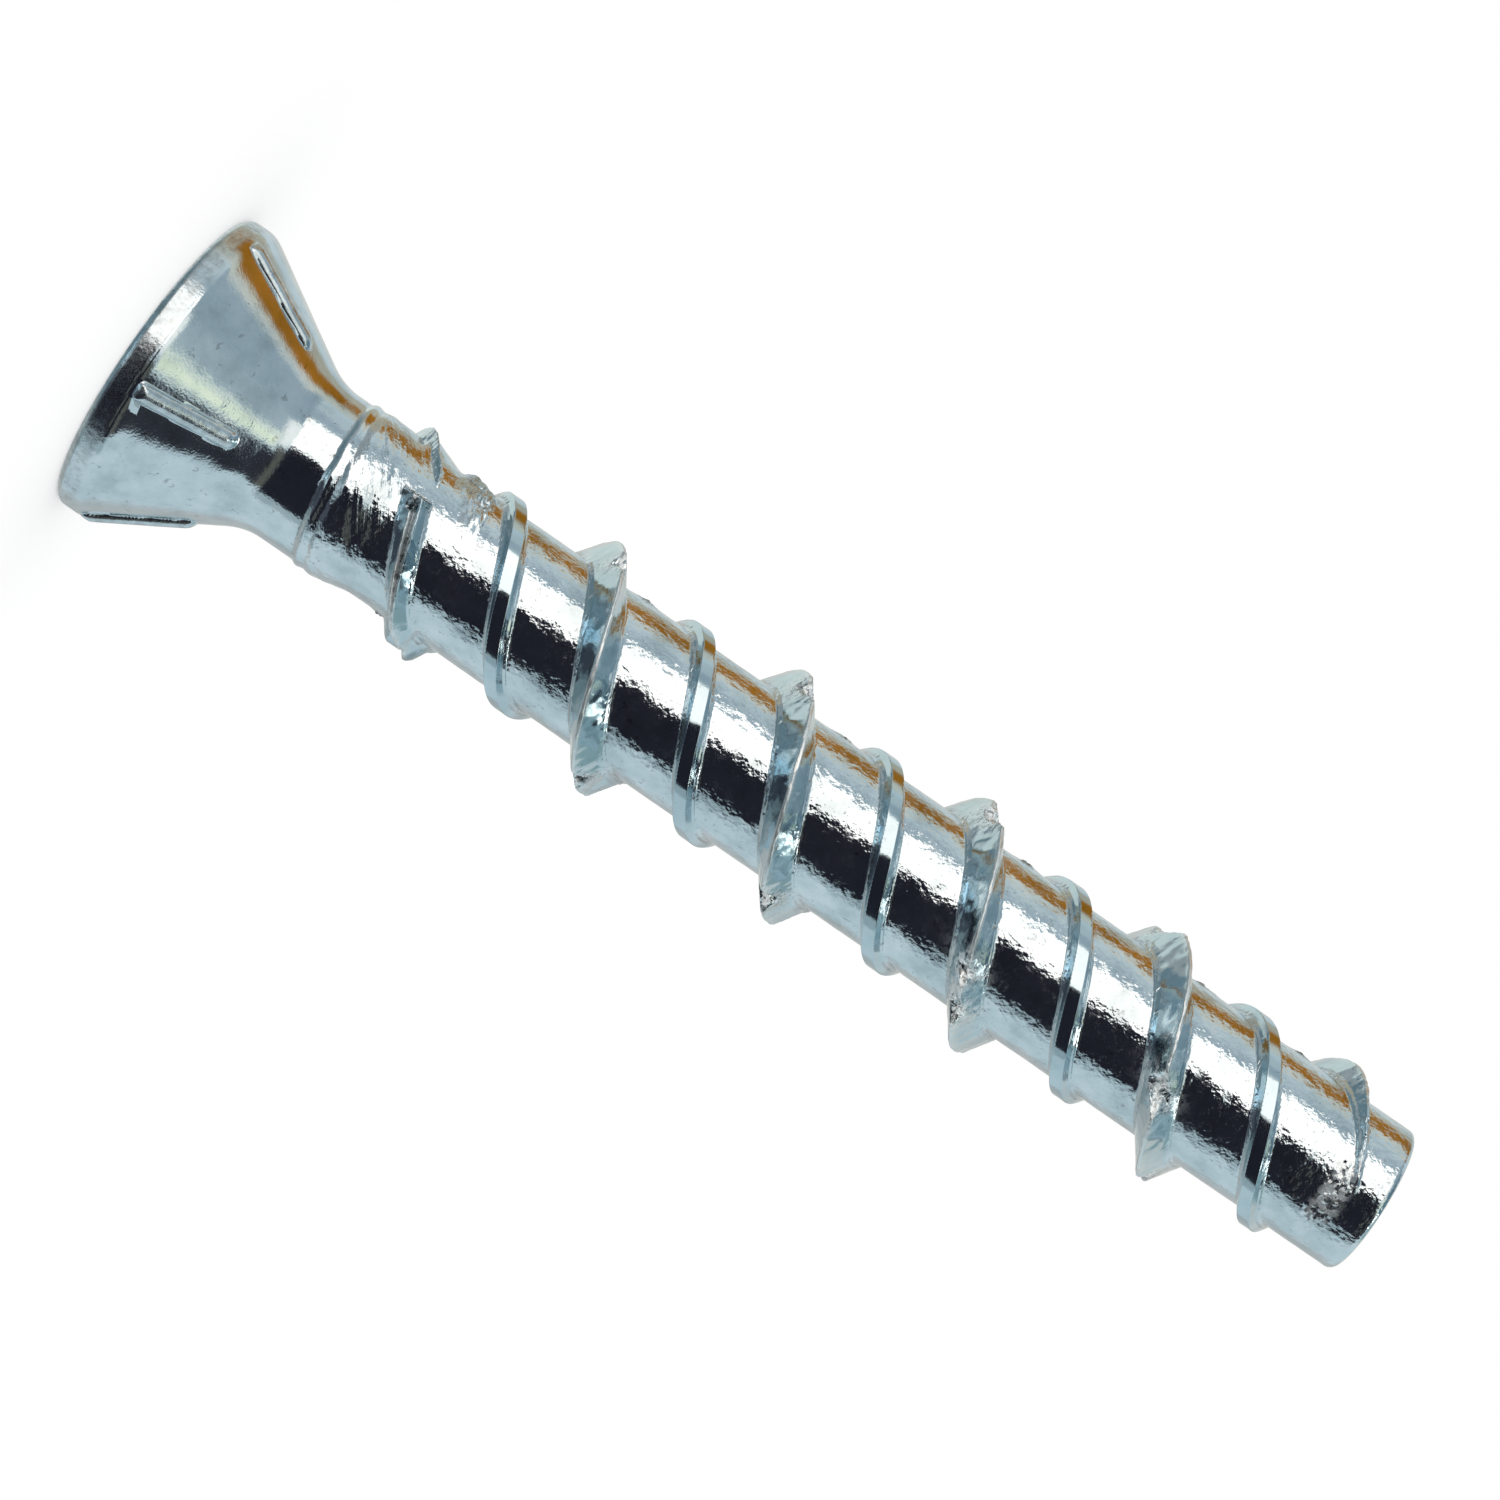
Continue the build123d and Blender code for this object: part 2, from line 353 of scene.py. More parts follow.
def head_radius(p):
    """Rounded rim and cone, with the ribs laid along the cone."""
    p.mark("scuff", 0.6 * (1 - step(RIM_HEIGHT - 0.35, RIM_HEIGHT - 0.05, p.z)))
    rim = np.full_like(p.z, HEAD_R)
    cone = HEAD_R - (p.z - RIM_HEIGHT) * CONE_SLOPE
    head = smin(rim, cone, RIM_ROUND)
    past_end = np.clip(p.z - (RIB_END_Z - RIB_HALF), 0, None) / math.cos(math.radians(CONE_ANGLE))
    foot = RIB_START_Z - 0.1
    for rib in RIB_ANGLES:
        across = np.radians(wrapped(p.phi - rib)) * np.clip(cone, 3, None)
        out = np.sqrt(across**2 + past_end**2) / RIB_HALF
        rise = RIB_RISE * np.clip(1 - out**2.4, 0, 1) ** 0.75
        head = head + rise * step(foot, RIB_START_Z + 0.3, p.z)
        p.mark("scuff", 0.8 * bell(out, 0.9) * step(foot, RIB_START_Z + 0.2, p.z))
    head = smin(head, rim, RIB_RIM_ROUND)
    return head - RIM_LIP * np.clip(1 - p.z / RIM_LIP_HEIGHT, 0, 1) ** 2


def shank_radius(p):
    """Neck, lip, collar and core, with the rolling marks on the collar."""
    lip = p.z - (LIP_Z + LIP_SLANT * NECK_R * np.sin(p.around)) + 0.05 * noise(p.spot, 0.9, 5)
    # the lip stands up sharply, with a groove and a lower wave behind it
    tube = NECK_R + 0.09 * step(-0.16, 0.1, lip) + 0.05 * bell(lip - 0.2, 0.16)
    tube = tube - 0.03 * bell(lip - 0.55, 0.16) + 0.035 * bell(lip - 0.95, 0.25)
    tube = smin(tube, COLLAR_R - COLLAR_TAPER * (p.z - COLLAR_Z), 0.1)
    hump = np.clip(HUMP_RISE - HUMP_TAPER * (p.z - HUMP_Z), 0, HUMP_TOP) * step(*HUMP_START, p.z)
    tube = smax(tube, CORE_R + p.beside(UPPER_SIDE, HUMP_WIDTH) * hump, 0.1)
    core = CORE_R + (CORE_END_R - CORE_R) * step(*CORE_TAPER, p.z)
    core = core - (core - TIP_R) * step(TIP_Z - 0.25, TIP_Z + 0.3, p.z)
    shank = smax(tube, core, 0.12)

    # coarse and fine rolling marks
    lines = 0
    for amount, turned, size, seed in ((1, 0.35, 0.34, 7), (0.6, 0.5, 0.16, 8)):
        spot = np.stack([rolled(p.phi, p.z), 0 * p.z, np.radians(wrapped(p.phi)) * turned], axis=1)
        lines = lines + amount * noise(spot, size, seed)
    return shank + 0.02 * lines * step(0.1, 0.6, lip) * (1 - step(12.8, 14.2, p.z))


def ridge(w, crest, flat, flanks):
    """Radius of a ridge whose head-side and tip-side flanks fall from its crest, w mm away from it."""
    head_side, tip_side = (math.tan(math.radians(angle)) for angle in flanks)
    return crest - np.clip(np.abs(w) - flat, 0, None) / np.where(w < 0, head_side, tip_side)


def high_crest(p):
    """Crest radius of the high thread, ragged at its edge and more so where it fades."""
    crest = np.interp(p.turn, *zip(*HIGH_STATIONS)) + 0.012 * noise(p.spot, 1.4, 13)
    ragged = 0.02 * p.rough - 0.14 * step(*FADING, p.turn) * np.clip(p.rough, 0, 1)
    return crest + ragged * bell(p.w, 0.28)


def high_thread(p, crest):
    """High thread with the groove and the hole behind its square-cut start."""
    starting = 1 - step(START_TURN, -300, p.turn)
    flat = HIGH_FLAT + START_FLAT * starting * step(START_TURN - 3, START_TURN, p.turn)
    flat = flat + 0.025 * noise(p.spot, 0.3, 14)
    off = p.w - START_LEAN * starting
    wavy = 0.02 * bell(p.w, 0.28) * noise(p.spot, 0.35, 16)
    high = smin(ridge(off + wavy, crest, flat, HIGH_FLANKS), crest, HIGH_ROUND)
    groove = bell(off, 0.12) * step(START_TURN, START_TURN + 6, p.turn) * (1 - step(-345, -285, p.turn))
    hole = p.beside(HOLE_ANGLE, 2.6) * bell(p.z - START_Z, 0.17)
    p.mark("pit", 0.6 * groove)
    # painted shade: the groove and the hole are darkened as shade in their hollows
    p.mark("dirt_and_shade", np.maximum(0.55 * groove, hole))
    return high - 0.32 * groove - 0.5 * hole


def notched(p, high):
    """The high thread with its notches cut and a burr raised on both sides of each."""
    speckled = step(0.1, 0.3, noise(p.spot, 0.42, 17))
    for notch in NOTCHES:
        along = (p.turn - notch.at) - notch.skew * p.w
        along = np.sign(along) * np.clip(np.abs(along) - notch.bottom, 0, None)
        near = np.abs(along) < NOTCH_REACH
        wall = HIGH_R - notch.depth + np.abs(along) / notch.half * notch.depth
        wall = wall + 0.12 * p.rough * bell(along, notch.half * 1.3)
        burr = 0.07 * bell(np.abs(along) - notch.half * 1.15, 2.6) * np.clip(p.rough + 0.3, 0, 1)
        cut = smin(high, wall, 0.03) + burr * bell(p.w, 0.5) * (wall > high)
        high = np.where(near, cut, high)
        shown = 1.0 if notch.bottom < WIDE_BOTTOM else 0.3
        p.mark("pit", shown * bell(along, 8.0) * bell(p.w, 0.8) * near)
        p.mark("dirt_and_shade", 0.8 * shown * speckled * bell(along, 7.0) * bell(p.w, 0.55) * near)
    return high


def low_thread(p):
    """Low thread, midway between the turns of the high one."""
    crest = np.interp(p.turn + np.where(p.w < 0, -180, 180), *zip(*LOW_STATIONS))
    low = ridge(from_low_crest(p.w) - LOW_SHIFT, crest, LOW_FLAT, LOW_FLANKS)
    return smin(low, crest, LOW_ROUND)


def fin(p):
    """Ragged fin ahead of the square start."""
    crest = np.interp(wrapped(p.phi), *zip(*FIN_STATIONS)) + 0.06 * p.rough
    off = p.z - FIN_Z - FIN_RISE * (wrapped(p.phi) + 90) - 0.08 * noise(p.spot, 0.7, 15)
    return ridge(off, crest, FIN_FLAT, FIN_FLANKS)


def start_bar(p):
    """Upright bar of metal at the square start of the high thread."""
    off = np.abs(p.z - START_Z)
    p.mark("scuff", p.beside(START_ANGLE, 4.5) * (1 - step(0.8, 1.0, off)))
    bar = BAR_FOOT_R + BAR_RISE * p.beside(START_ANGLE, 3.4) * (1 - step(0.72, 0.92, off))
    return np.where(off < 1.2, bar, 0)


def torn_metal(p, shank, crest):
    """The shank with its scar, lump, torn run-out and burrs."""
    angle_here = SCAR_ANGLE + SCAR_TWIST * (p.z - SCAR_Z)
    scar = p.beside(angle_here, SCAR_WIDTH) * p.within(*SCAR_HEIGHTS)
    shank = shank + scar * (0.27 + 0.16 * p.rough)
    p.mark("scuff", 0.7 * scar)

    lump = p.beside(LOWER_SIDE, LUMP_WIDTH) * p.within(*LUMP_HEIGHTS)
    shank = smax(shank, LUMP_R + LUMP_RISE * lump + 0.03 * p.rough, 0.1)
    p.mark("scuff", 0.5 * lump)
    # painted shade: dark band in the crease where the lump's upper end meets the full crest
    p.mark("dirt_and_shade", p.beside(LOWER_SIDE, 9) * bell(p.z - LUMP_HEIGHTS[3], 0.4) * step(4.7, 4.95, crest))

    run_out = p.beside(RUN_OUT_ANGLE, RUN_OUT_WIDTH) * p.within(*RUN_OUT_HEIGHTS)
    shank = shank + run_out * 0.10 * np.clip(p.rough, -0.2, 1)
    p.mark("scuff", 0.8 * run_out)
    p.mark("pit", 0.45 * run_out)

    for angle, middle, long in BURRS:
        burr = p.beside(angle, BURR_WIDTH) * bell(p.z - middle, long)
        shank = shank + BURR_RISE * (burr * np.clip(0.7 + p.rough, 0, 2))
        p.mark("dirt_and_shade", burr * (p.rough > -0.5))
    return shank


def outside(phi, z):
    """Radius of the outside at angle phi and height z, and the masks there."""
    p = Points(phi, z)
    crest = high_crest(p)
    shank = shank_radius(p)
    shank = smax(shank, notched(p, high_thread(p, crest)), HIGH_ROOT)
    shank = smax(shank, low_thread(p), LOW_ROOT)
    shank = smax(shank, fin(p), FIN_ROOT)
    shank = smax(shank, start_bar(p), BAR_ROOT)
    shank = torn_metal(p, shank, crest)
    p.mark("scuff", 0.35 * crest_line(p.w, p.turn, 0.13))
    down = share(LENGTH - TIP_ROUND, LENGTH, z)
    shank = shank - TIP_ROUND * (1 - np.sqrt(np.clip(1 - down**2, 0, 1)))
    uneven = 0.010 * noise(p.spot, 1.1, 21) + 0.005 * noise(p.spot, 0.45, 22)
    uneven = uneven * p.within(0.4, 1.2, LENGTH - 0.6, LENGTH - 0.2)
    return smax(head_radius(p), shank, NECK_BLEND) + uneven, p.masks


def lobes(phi):
    """Radius of the recess wall at angle phi: six lobes and six valleys of tangent arcs."""
    at = LOBE_R - LOBE_ROUND
    reach = at * math.cos(math.radians(30))
    excess = LOBE_ROUND**2 - VALLEY_R**2 - at**2 + 2 * VALLEY_R * reach
    wall = excess / (2 * (VALLEY_R - reach - LOBE_ROUND))
    a = np.radians(np.abs((phi + 30) % 60 - 30))
    lobe = at * np.cos(a) + np.sqrt(np.clip(LOBE_ROUND**2 - (at * np.sin(a)) ** 2, 0, None))
    b = math.radians(30) - a
    far = VALLEY_R + wall
    valley = far * np.cos(b) - np.sqrt(np.clip(wall**2 - (far * np.sin(b)) ** 2, 0, None))
    return np.where((at * np.sin(a) < LOBE_ROUND) & (lobe > valley), lobe, valley)


def recess(phi, s):
    """Radius and height at angle phi, s along the meridian from the rim over the face into the recess."""
    wall = lobes(phi)
    brim = MOUTH_DEPTH * (MOUTH_R - wall) / (MOUTH_R - VALLEY_R)
    mouth = share(FACE_END, MOUTH_END, s)
    down = share(MOUTH_END, WALL_END, s)
    floor = share(WALL_END, FLOOR_END, s)
    point = share(FLOOR_END, POINT_END, s)
    r = np.interp(s, (0, FACE_END), (FACE_R, MOUTH_R)) + (wall - MOUTH_R) * mouth
    r = r + (DRIVE_FLOOR_R - wall) * floor - DRIVE_FLOOR_R * point
    z = brim * mouth + (DRIVE_DEPTH - brim) * down + DRIVE_POINT_DEPTH * point
    return np.maximum(r, 0), z


def surface(phi, t):
    """Position in mm, and the masks, at angle phi and meridian place t."""
    z = np.clip(t, 0, LENGTH)
    r, masks = outside(phi, z)
    r_in, z_in = recess(phi, -np.minimum(t, 0))
    r = np.where(t < 0, r_in, r)
    z = np.where(t < 0, z_in, z)
    over = np.clip(t - LENGTH, 0, None)
    r = np.where(t > LENGTH, np.clip(TIP_END_R - over, 0, None), r)
    around = np.radians(phi)
    slant = TIP_SLANT * (1 - np.sin(around) * np.clip(r / TIP_R, 0, 1)) * step(LENGTH - 3, LENGTH, z)
    z = z - slant - 0.05 * step(0.2, 2.4, over)
    return np.stack([r * np.sin(around), -r * np.cos(around), z], axis=1), masks


# Adaptive mesh


def meridian_rows():
    """Meridian places of the rows, close together at each corner."""
    corners = (FACE_END, MOUTH_END, WALL_END, FLOOR_END)
    inner = [CORNER, 0.4, 1.0, 2.0, 3.2, FACE_END + 0.25]
    inner += [WALL_END + 0.35, FLOOR_END + 0.7, FLOOR_END + 1.4]
    inner += [corner + side for corner in corners for side in (-CORNER, CORNER)]
    inner += list(MOUTH_END + np.arange(0.3, DRIVE_DEPTH - 0.1, 0.36))
    first = -math.floor(CREST_Z / ROW) * ROW + CREST_Z
    body = [z for z in np.arange(first, LENGTH - 0.5 * ROW, ROW) if 0.08 < z < LENGTH - TIP_ROUND - 0.05]
    tip = LENGTH - TIP_ROUND * np.array([1.0, 0.85, 0.65, 0.45, 0.28, 0.14, 0.05, 0.0])
    cap = LENGTH + np.array([0.04, 0.5, 1.2, 2.0, 2.8])
    return np.array(sorted(-s for s in inner) + [0.0, CORNER] + body + list(tip) + list(cap))


def base_grid():
    """Angle and place of each point, triangles whose diagonals follow the threads, and the two poles."""
    rows = meridian_rows()
    phi = np.tile(np.arange(COLUMNS) * (360 / COLUMNS), len(rows))
    t = np.repeat(rows, COLUMNS)
    index = np.arange(len(rows) * COLUMNS).reshape(len(rows), COLUMNS)
    beside = np.roll(index, -1, axis=1)
    a, b, c, d = index[:-1], beside[:-1], beside[1:], index[1:]
    triangles = [np.stack([x.ravel(), y.ravel(), v.ravel()], axis=1) for x, y, v in ((a, b, c), (a, c, d))]
    poles = (len(phi), len(phi) + 1)
    phi = np.append(phi, [0.0, 0.0])
    t = np.append(t, [-POINT_END, LENGTH + TIP_END_R])
    triangles.append(np.stack([beside[0], index[0], np.full(COLUMNS, poles[0])], axis=1))
    triangles.append(np.stack([index[-1], beside[-1], np.full(COLUMNS, poles[1])], axis=1))
    return phi, t, np.concatenate(triangles), poles


def zones(phi, t):
    """Where the mesh is made finer and the longest edge there in mm. Later zones overrule earlier ones."""
    w, turn = along_crest(phi % 360, t)
    turned = wrapped(phi)
    threaded = (t > 10.8) & (turn > -480) & (turn < 1470)
    # high thread, its crest and the edges of the low crest
    yield threaded & (np.abs(w) < 1.6), 0.5
    yield threaded & (np.abs(w) < 0.36), 0.45
    yield (t > 15.5) & (np.abs(np.abs(from_low_crest(w)) - 0.4) < 0.12), 0.3
    for notch in NOTCHES:
        size = 0.13 if notch.bottom < WIDE_BOTTOM else 0.45
        yield (np.abs(turn - notch.at) < notch.half * 1.9 + notch.bottom) & (np.abs(w) < 0.8), size
    # square start, fin, torn run-out and burrs
    yield (turn < -280) & threaded & (np.abs(w) < 1.2), 0.21
    yield (turned > -120) & (turned < -20) & (t > 11.5) & (t < 15.2), 0.2
    yield (turned > -30) & (turned < 55) & (t > 65.7) & (t < 67.6), 0.2
    for angle, middle, _ in BURRS:
        yield (np.abs(wrapped(phi - angle)) < 2 * BURR_WIDTH) & (np.abs(t - middle) < 0.8), 0.14
    # fading end, lip and collar, ribs
    yield (turn > FADING[0]) & threaded & (np.abs(w) < 0.8), 0.21
    yield (t > 9.3) & (t < 13.6), 0.2
    for rib in RIB_ANGLES:
        across = np.radians(wrapped(phi - rib)) * np.clip(9 - t * CONE_SLOPE, 3, None)
        size = 0.2 if rib < 90 else 0.3
        yield (t > 1.1) & (t < 6.3) & (np.abs(across) < 0.66), size


def too_long(place, u, v, mid_phi, mid_t):
    """Edges from u to v that are longer than their zone allows or leave the surface in the middle."""
    limit = np.full(len(mid_t), COARSE_EDGE)
    for inside, size in zones(mid_phi, mid_t):
        limit = np.where(inside, size, limit)
    length = np.linalg.norm(place[u] - place[v], axis=1)
    middle = surface(mid_phi, mid_t)[0]
    off = np.linalg.norm(middle - (place[u] + place[v]) / 2, axis=1)
    return ((off > FLATNESS) & (length > SHORTEST)) | (length > limit)


def halved(phi, t, triangles, poles):
    """Splits each edge that too_long() marks in half, and the triangles on it to match."""
    count = len(phi)
    a = triangles[:, [0, 1, 2]].ravel()
    b = triangles[:, [1, 2, 0]].ravel()
    key = np.minimum(a, b) * count + np.maximum(a, b)
    unique, inverse = np.unique(key, return_inverse=True)
    u, v = unique // count, unique % count
    u_pole, v_pole = np.isin(u, poles), np.isin(v, poles)
    between = phi[u] + wrapped(phi[v] - phi[u]) / 2
    mid_phi = np.where(u_pole, phi[v], np.where(v_pole, phi[u], between))
    mid_t = (t[u] + t[v]) / 2
    marked = too_long(surface(phi, t)[0], u, v, mid_phi, mid_t) & ~(u_pole | v_pole)
    new = np.where(marked, np.cumsum(marked) - 1 + count, -1)
    phi = np.append(phi, mid_phi[marked] % 360)
    t = np.append(t, mid_t[marked])
    mids = new[inverse].reshape(-1, 3)
    split = mids >= 0
    how_many = split.sum(axis=1)
    out = [triangles[how_many == 0]]
    for k in range(3):
        order = [k, (k + 1) % 3, (k + 2) % 3]
        p, q, r = (triangles[:, i] for i in order)
        m, n, o = (mids[:, i] for i in order)
        one = (how_many == 1) & split[:, k]
        two = (how_many == 2) & ~split[:, k]
        for trio in ((p, m, r), (m, q, r)):
            out.append(np.stack(trio, axis=1)[one])
        for trio in ((n, r, o), (p, q, n), (p, n, o)):
            out.append(np.stack(trio, axis=1)[two])
    every = how_many == 3
    p, q, r = triangles[every].T
    m, n, o = mids[every].T
    for trio in ((p, m, o), (m, q, n), (o, n, r), (m, n, o)):
        out.append(np.stack(trio, axis=1))
    return phi, t, np.concatenate(out)


def outward(phi, t, poles):
    """Normals of the shape itself, so that the shading doesn't show the triangles."""
    along_side = surface(phi, t + NUDGE)[0] - surface(phi, t - NUDGE)[0]
    around_side = surface(phi + NUDGE_ANGLE, t)[0] - surface(phi - NUDGE_ANGLE, t)[0]
    normals = np.cross(around_side, along_side)
    length = np.linalg.norm(normals, axis=1, keepdims=True)
    normals = np.where(length > 1e-12, normals / np.maximum(length, 1e-12), (0, 0, 1))
    normals[poles[0]] = (0, 0, -1)
    normals[poles[1]] = (0, 0, 1)
    return normals


def finished_masks(phi, t, place, masks):
    """The shape's own masks and those read from place: torn, edge, flank and lined."""
    radius = np.hypot(place[:, 0], place[:, 1])
    raised = radius - CORE_R
    torn = np.where(t < 0, 0.12, 0.12 + 0.88 * step(9.4, 11.5, t))
    torn = torn * (1 - 0.95 * step(0.1, 0.3, raised) * step(11.5, 14, t))
    torn = np.maximum(np.maximum(torn, 0.5 * masks["pit"]), 0.7 * masks["scuff"])
    edge = crest_line(*along_crest(phi, t), 0.12) * step(4.35, 4.5, radius)
    flank = step(0.12, 0.35, raised) * step(13.4, 14.2, t) * (1 - edge)
    seam = 1 - step(168, 176, np.abs(wrapped(phi)))
    lined = step(10.1, 10.9, t) * (1 - step(13.2, 14.8, t)) * seam
    return {**masks, "torn": torn, "edge": edge, "flank": flank, "lined": lined}


phi, t, triangles, poles = base_grid()
for _ in range(LEVELS):
    phi, t, triangles = halved(phi, t, triangles, poles)
place, shape_masks = surface(phi, t)
kept = finished_masks(phi, t, place, shape_masks)
across_marks = [rolled(phi, t) / ROLL_SIZE, np.radians(wrapped(phi)) * 1.6, 0 * t]

mesh = bpy.data.meshes.new("screw_body")
mesh.vertices.add(len(place))
mesh.vertices.foreach_set("co", (place * MM).ravel())
mesh.loops.add(len(triangles) * 3)
mesh.loops.foreach_set("vertex_index", triangles.ravel())
mesh.polygons.add(len(triangles))
mesh.polygons.foreach_set("loop_start", np.arange(len(triangles)) * 3)
mesh.polygons.foreach_set("loop_total", np.full(len(triangles), 3))
mesh.update(calc_edges=True)
mesh.validate()
mesh.polygons.foreach_set("use_smooth", np.ones(len(triangles), dtype=bool))
mesh.normals_split_custom_set_from_vertices(outward(phi, t, poles))
for name, values in kept.items():
    mesh.attributes.new(name, "FLOAT", "POINT").data.foreach_set("value", values)
rolled_places = mesh.attributes.new("rolled", "FLOAT_VECTOR", "POINT")
rolled_places.data.foreach_set("vector", np.stack(across_marks, axis=1).ravel())
body = bpy.data.objects.new("screw_body", mesh)
bpy.context.scene.collection.objects.link(body)
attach(body, "root")
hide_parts("concrete_screw")


# Node helpers


class Nodes:
    """Short ways to add nodes to one node tree. A value is a socket, a number or a colour."""

    def __init__(self, tree):
        self.tree = tree

    def feed(self, value, socket):
        """Links a socket to another, or sets its number or colour."""
        if isinstance(value, (int, float)):
            socket.default_value = value
        elif isinstance(value, tuple):
            socket.default_value = (*value, 1)
        else:
            self.tree.links.new(value, socket)

    def math(self, operation, *values):
        node = self.tree.nodes.new("ShaderNodeMath")
        node.operation = operation
        for value, socket in zip(values, node.inputs):
            self.feed(value, socket)
        return node.outputs[0]

    def times(self, a, b):
        return self.math("MULTIPLY", a, b)

    def plus(self, a, b):
        return self.math("ADD", a, b)

    def noise(self, vector, scale, detail, rough):
        node = self.tree.nodes.new("ShaderNodeTexNoise")
        node.inputs["Scale"].default_value = scale
        node.inputs["Detail"].default_value = detail
        node.inputs["Roughness"].default_value = rough
        self.feed(vector, node.inputs["Vector"])
        return node.outputs["Fac"]

    def smooth(self, value, low, high):
        """Smooth 0 to 1 as value goes from low to high."""
        node = self.tree.nodes.new("ShaderNodeMapRange")
        node.interpolation_type = "SMOOTHSTEP"
        node.inputs["From Min"].default_value = low
        node.inputs["From Max"].default_value = high
        self.feed(value, node.inputs["Value"])
        return node.outputs["Result"]

    def span(self, value, low, high, soft):
        """1 between low and high, falling to 0 over soft degrees at each end."""
        rise = self.smooth(value, low - soft / 2, low + soft / 2)
        return self.times(rise, self.smooth(value, high + soft / 2, high - soft / 2))

    def mix(self, factor, a, b):
        node = self.tree.nodes.new("ShaderNodeMix")
        node.data_type = "RGBA"
        for value, socket in zip((factor, a, b), ("Factor", "A", "B")):
            self.feed(value, node.inputs[socket])
        return node.outputs["Result"]

    def ramp(self, value, stops):
        node = self.tree.nodes.new("ShaderNodeValToRGB")
        elements = node.color_ramp.elements
        while len(elements) < len(stops):
            elements.new(0.5)
        for element, (at, colour) in zip(elements, stops):
            element.position = at
            element.color = (*colour, 1)
        self.feed(value, node.inputs[0])
        return node.outputs[0]

    def bump(self, height, distance, normal=None):
        """Normal with bumps on it, distance metres high where height is 1."""
        node = self.tree.nodes.new("ShaderNodeBump")
        node.inputs["Strength"].default_value = 1.0
        node.inputs["Distance"].default_value = distance
        self.feed(height, node.inputs["Height"])
        if normal is not None:
            self.feed(normal, node.inputs["Normal"])
        return node.outputs["Normal"]


# Zinc-plated steel: colours of the plating, blotchy from dull to bright, of what lies on it, and of painted
# shade and a painted highlight
PLATING = ((0.32, (0.52, 0.60, 0.63)), (0.5, (0.64, 0.73, 0.77)), (0.68, (0.74, 0.81, 0.84)))
SPECKS = (0.20, 0.20, 0.21)
RUBBED = (0.30, 0.30, 0.29)
ARCS = (0.26, 0.27, 0.27)
# Painted shade: a darker teal tint that gives the thread flanks their shading
FLANK_SHADE_TINT = (0.46, 0.60, 0.66)
# Burnished crest line, brightened further as a painted highlight
CREST_HIGHLIGHT_AND_BURNISH = (0.92, 0.94, 0.93)
PALE_PIT = (0.84, 0.87, 0.86)
DARK_PIT = (0.10, 0.10, 0.11)
# Near black: dirt on the burrs and in the notches, and painted shade in the hole, the groove and the crease
# by the lump
DIRT_AND_SHADE = (0.04, 0.04, 0.045)

# Bump heights in metres
WAVE_HEIGHT = 0.000045
TEAR_HEIGHT = 0.000040
GRAIN_HEIGHT = 0.000004
LINE_HEIGHT = 0.000014


def colour(nodes, where, masks, blotch):
    """Base colour: blotchy plating with specks, rubbed places, small arcs, pits and dirt, painted shade on
    the thread flanks, in the hole and groove and by the lump, and a painted highlight on the crest line.
    """
    specks = nodes.smooth(nodes.noise(where, 3.2, 3.0, 0.7), 0.68, 0.74)
    rubbed = nodes.smooth(nodes.noise(where, 2.6, 3.0, 0.6), 0.42, 0.62)
    arcs = nodes.smooth(nodes.noise(where, 1.5, 4.0, 0.75), 0.62, 0.67)
    speckled = nodes.smooth(nodes.noise(where, 6.0, 2.0, 0.6), 0.55, 0.60)
    layers = (
        (specks, 0.7, SPECKS),
        (nodes.times(masks["scuff"], rubbed), 0.55, RUBBED),
        (arcs, 0.5, ARCS),
        # painted shade: the thread flanks tinted darker teal
        (masks["flank"], 0.5, FLANK_SHADE_TINT),
        # painted highlight: the burnished crest line brightened
        (masks["edge"], 0.8, CREST_HIGHLIGHT_AND_BURNISH),
        (masks["pit"], 0.6, PALE_PIT),
        (nodes.times(masks["pit"], speckled), 0.8, DARK_PIT),
        # dirt on burrs and in notches, and painted shade in the hole, the groove and by the lump
        (masks["dirt_and_shade"], 0.95, DIRT_AND_SHADE),
    )
    tone = nodes.ramp(blotch, PLATING)
    for mask, strength, layer in layers:
        tone = nodes.mix(nodes.times(mask, strength), tone, layer)
    return tone


def roughness(nodes, where, masks, blotch):
    """Nearly a mirror, duller where the surface is grainy, pitted, scuffed or worn."""
    grain = nodes.noise(where, 5.0, 3.0, 0.6)
    mottled = nodes.times(nodes.smooth(nodes.noise(where, 1.8, 3.0, 0.6), 0.50, 0.66), masks["torn"])
    total = nodes.times(grain, 0.08)
    total = nodes.plus(total, nodes.times(blotch, 0.06))
    worn = ((masks["pit"], 0.10), (masks["scuff"], 0.22), (masks["edge"], 0.28), (mottled, 0.09))
    for mask, amount in worn:
        total = nodes.plus(total, nodes.times(mask, amount))
    return nodes.plus(total, 0.02)


def metallic(nodes, where, masks):
    """Metal all over, less so in whitish patches of the pits."""
    patches = nodes.smooth(nodes.noise(where, 2.4, 2.0, 0.5), 0.53, 0.46)
    return nodes.math("SUBTRACT", 1.0, nodes.times(nodes.times(masks["pit"], patches), 0.75))


